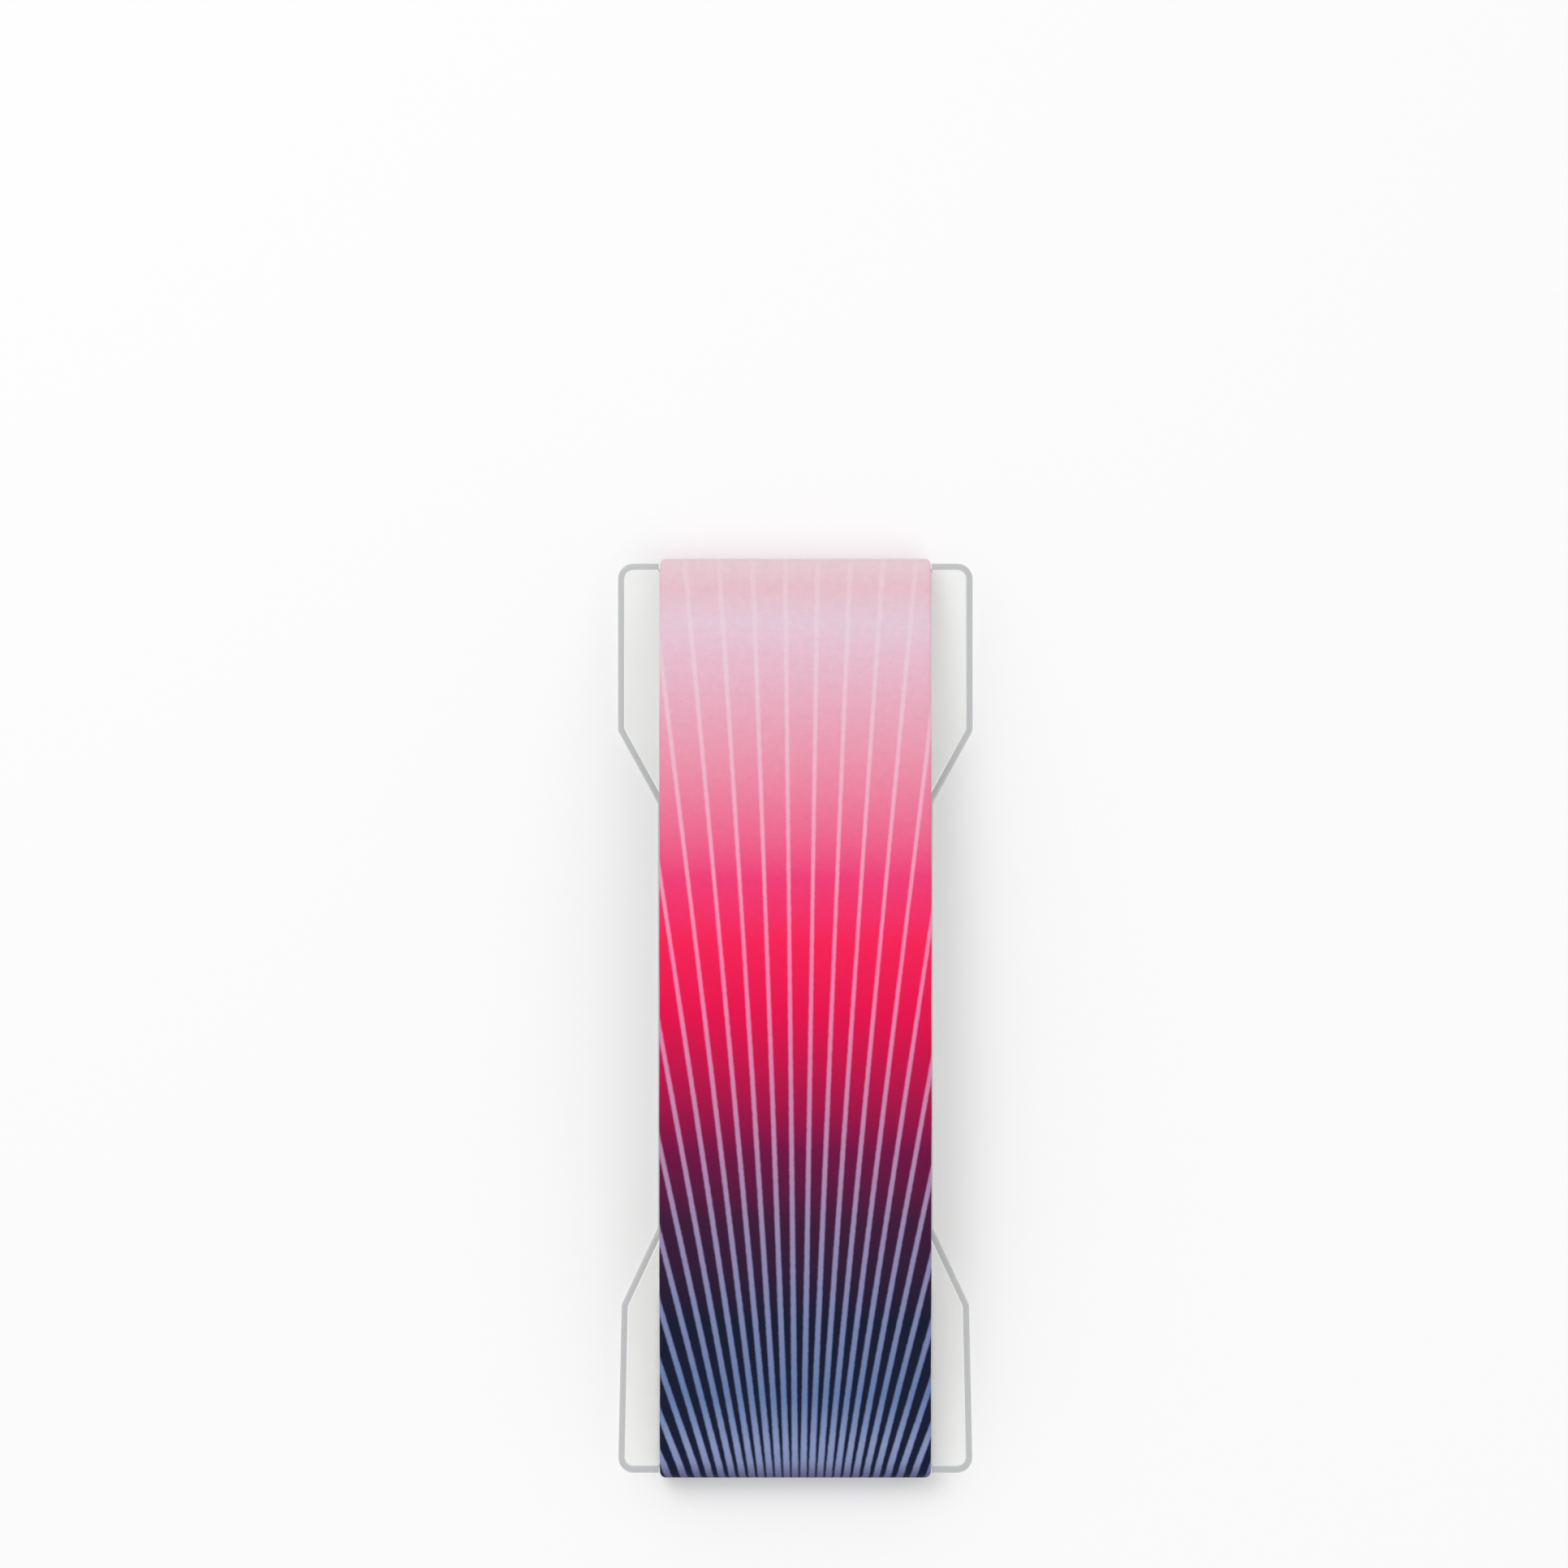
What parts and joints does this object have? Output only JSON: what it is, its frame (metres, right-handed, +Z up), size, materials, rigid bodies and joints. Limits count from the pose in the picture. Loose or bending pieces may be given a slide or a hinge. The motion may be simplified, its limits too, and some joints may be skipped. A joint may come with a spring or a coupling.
{
  "type": "phone finger strap",
  "caption": "Printed elastic band folded over the ends of a clear hourglass plate with a foam adhesive pad underneath; a finger slips under the band to hold a phone.",
  "frame": {"origin": "on the underside of the adhesive pad, at the middle of the strap's width and length", "axes": "+X across the strap, +Y along it towards the pale end of the print, +Z up from the pad to the band"},
  "size_m": [0.0392, 0.1016, 0.0113],
  "materials": {
    "clear_plastic": "clear moulded, polished",
    "printed_elastic": "fine ribbed elastic, matt, printed on its face",
    "transfer_tape": "thin pale adhesive film",
    "white_foam": "white closed-cell foam with an adhesive face"
  },
  "bodies": {
    "root": {"base_plate": "clear_plastic", "finger_band": "printed_elastic", "upper_tail_tape": "transfer_tape", "lower_tail_tape": "transfer_tape", "adhesive_pad": "white_foam"}
  },
  "joints": []
}
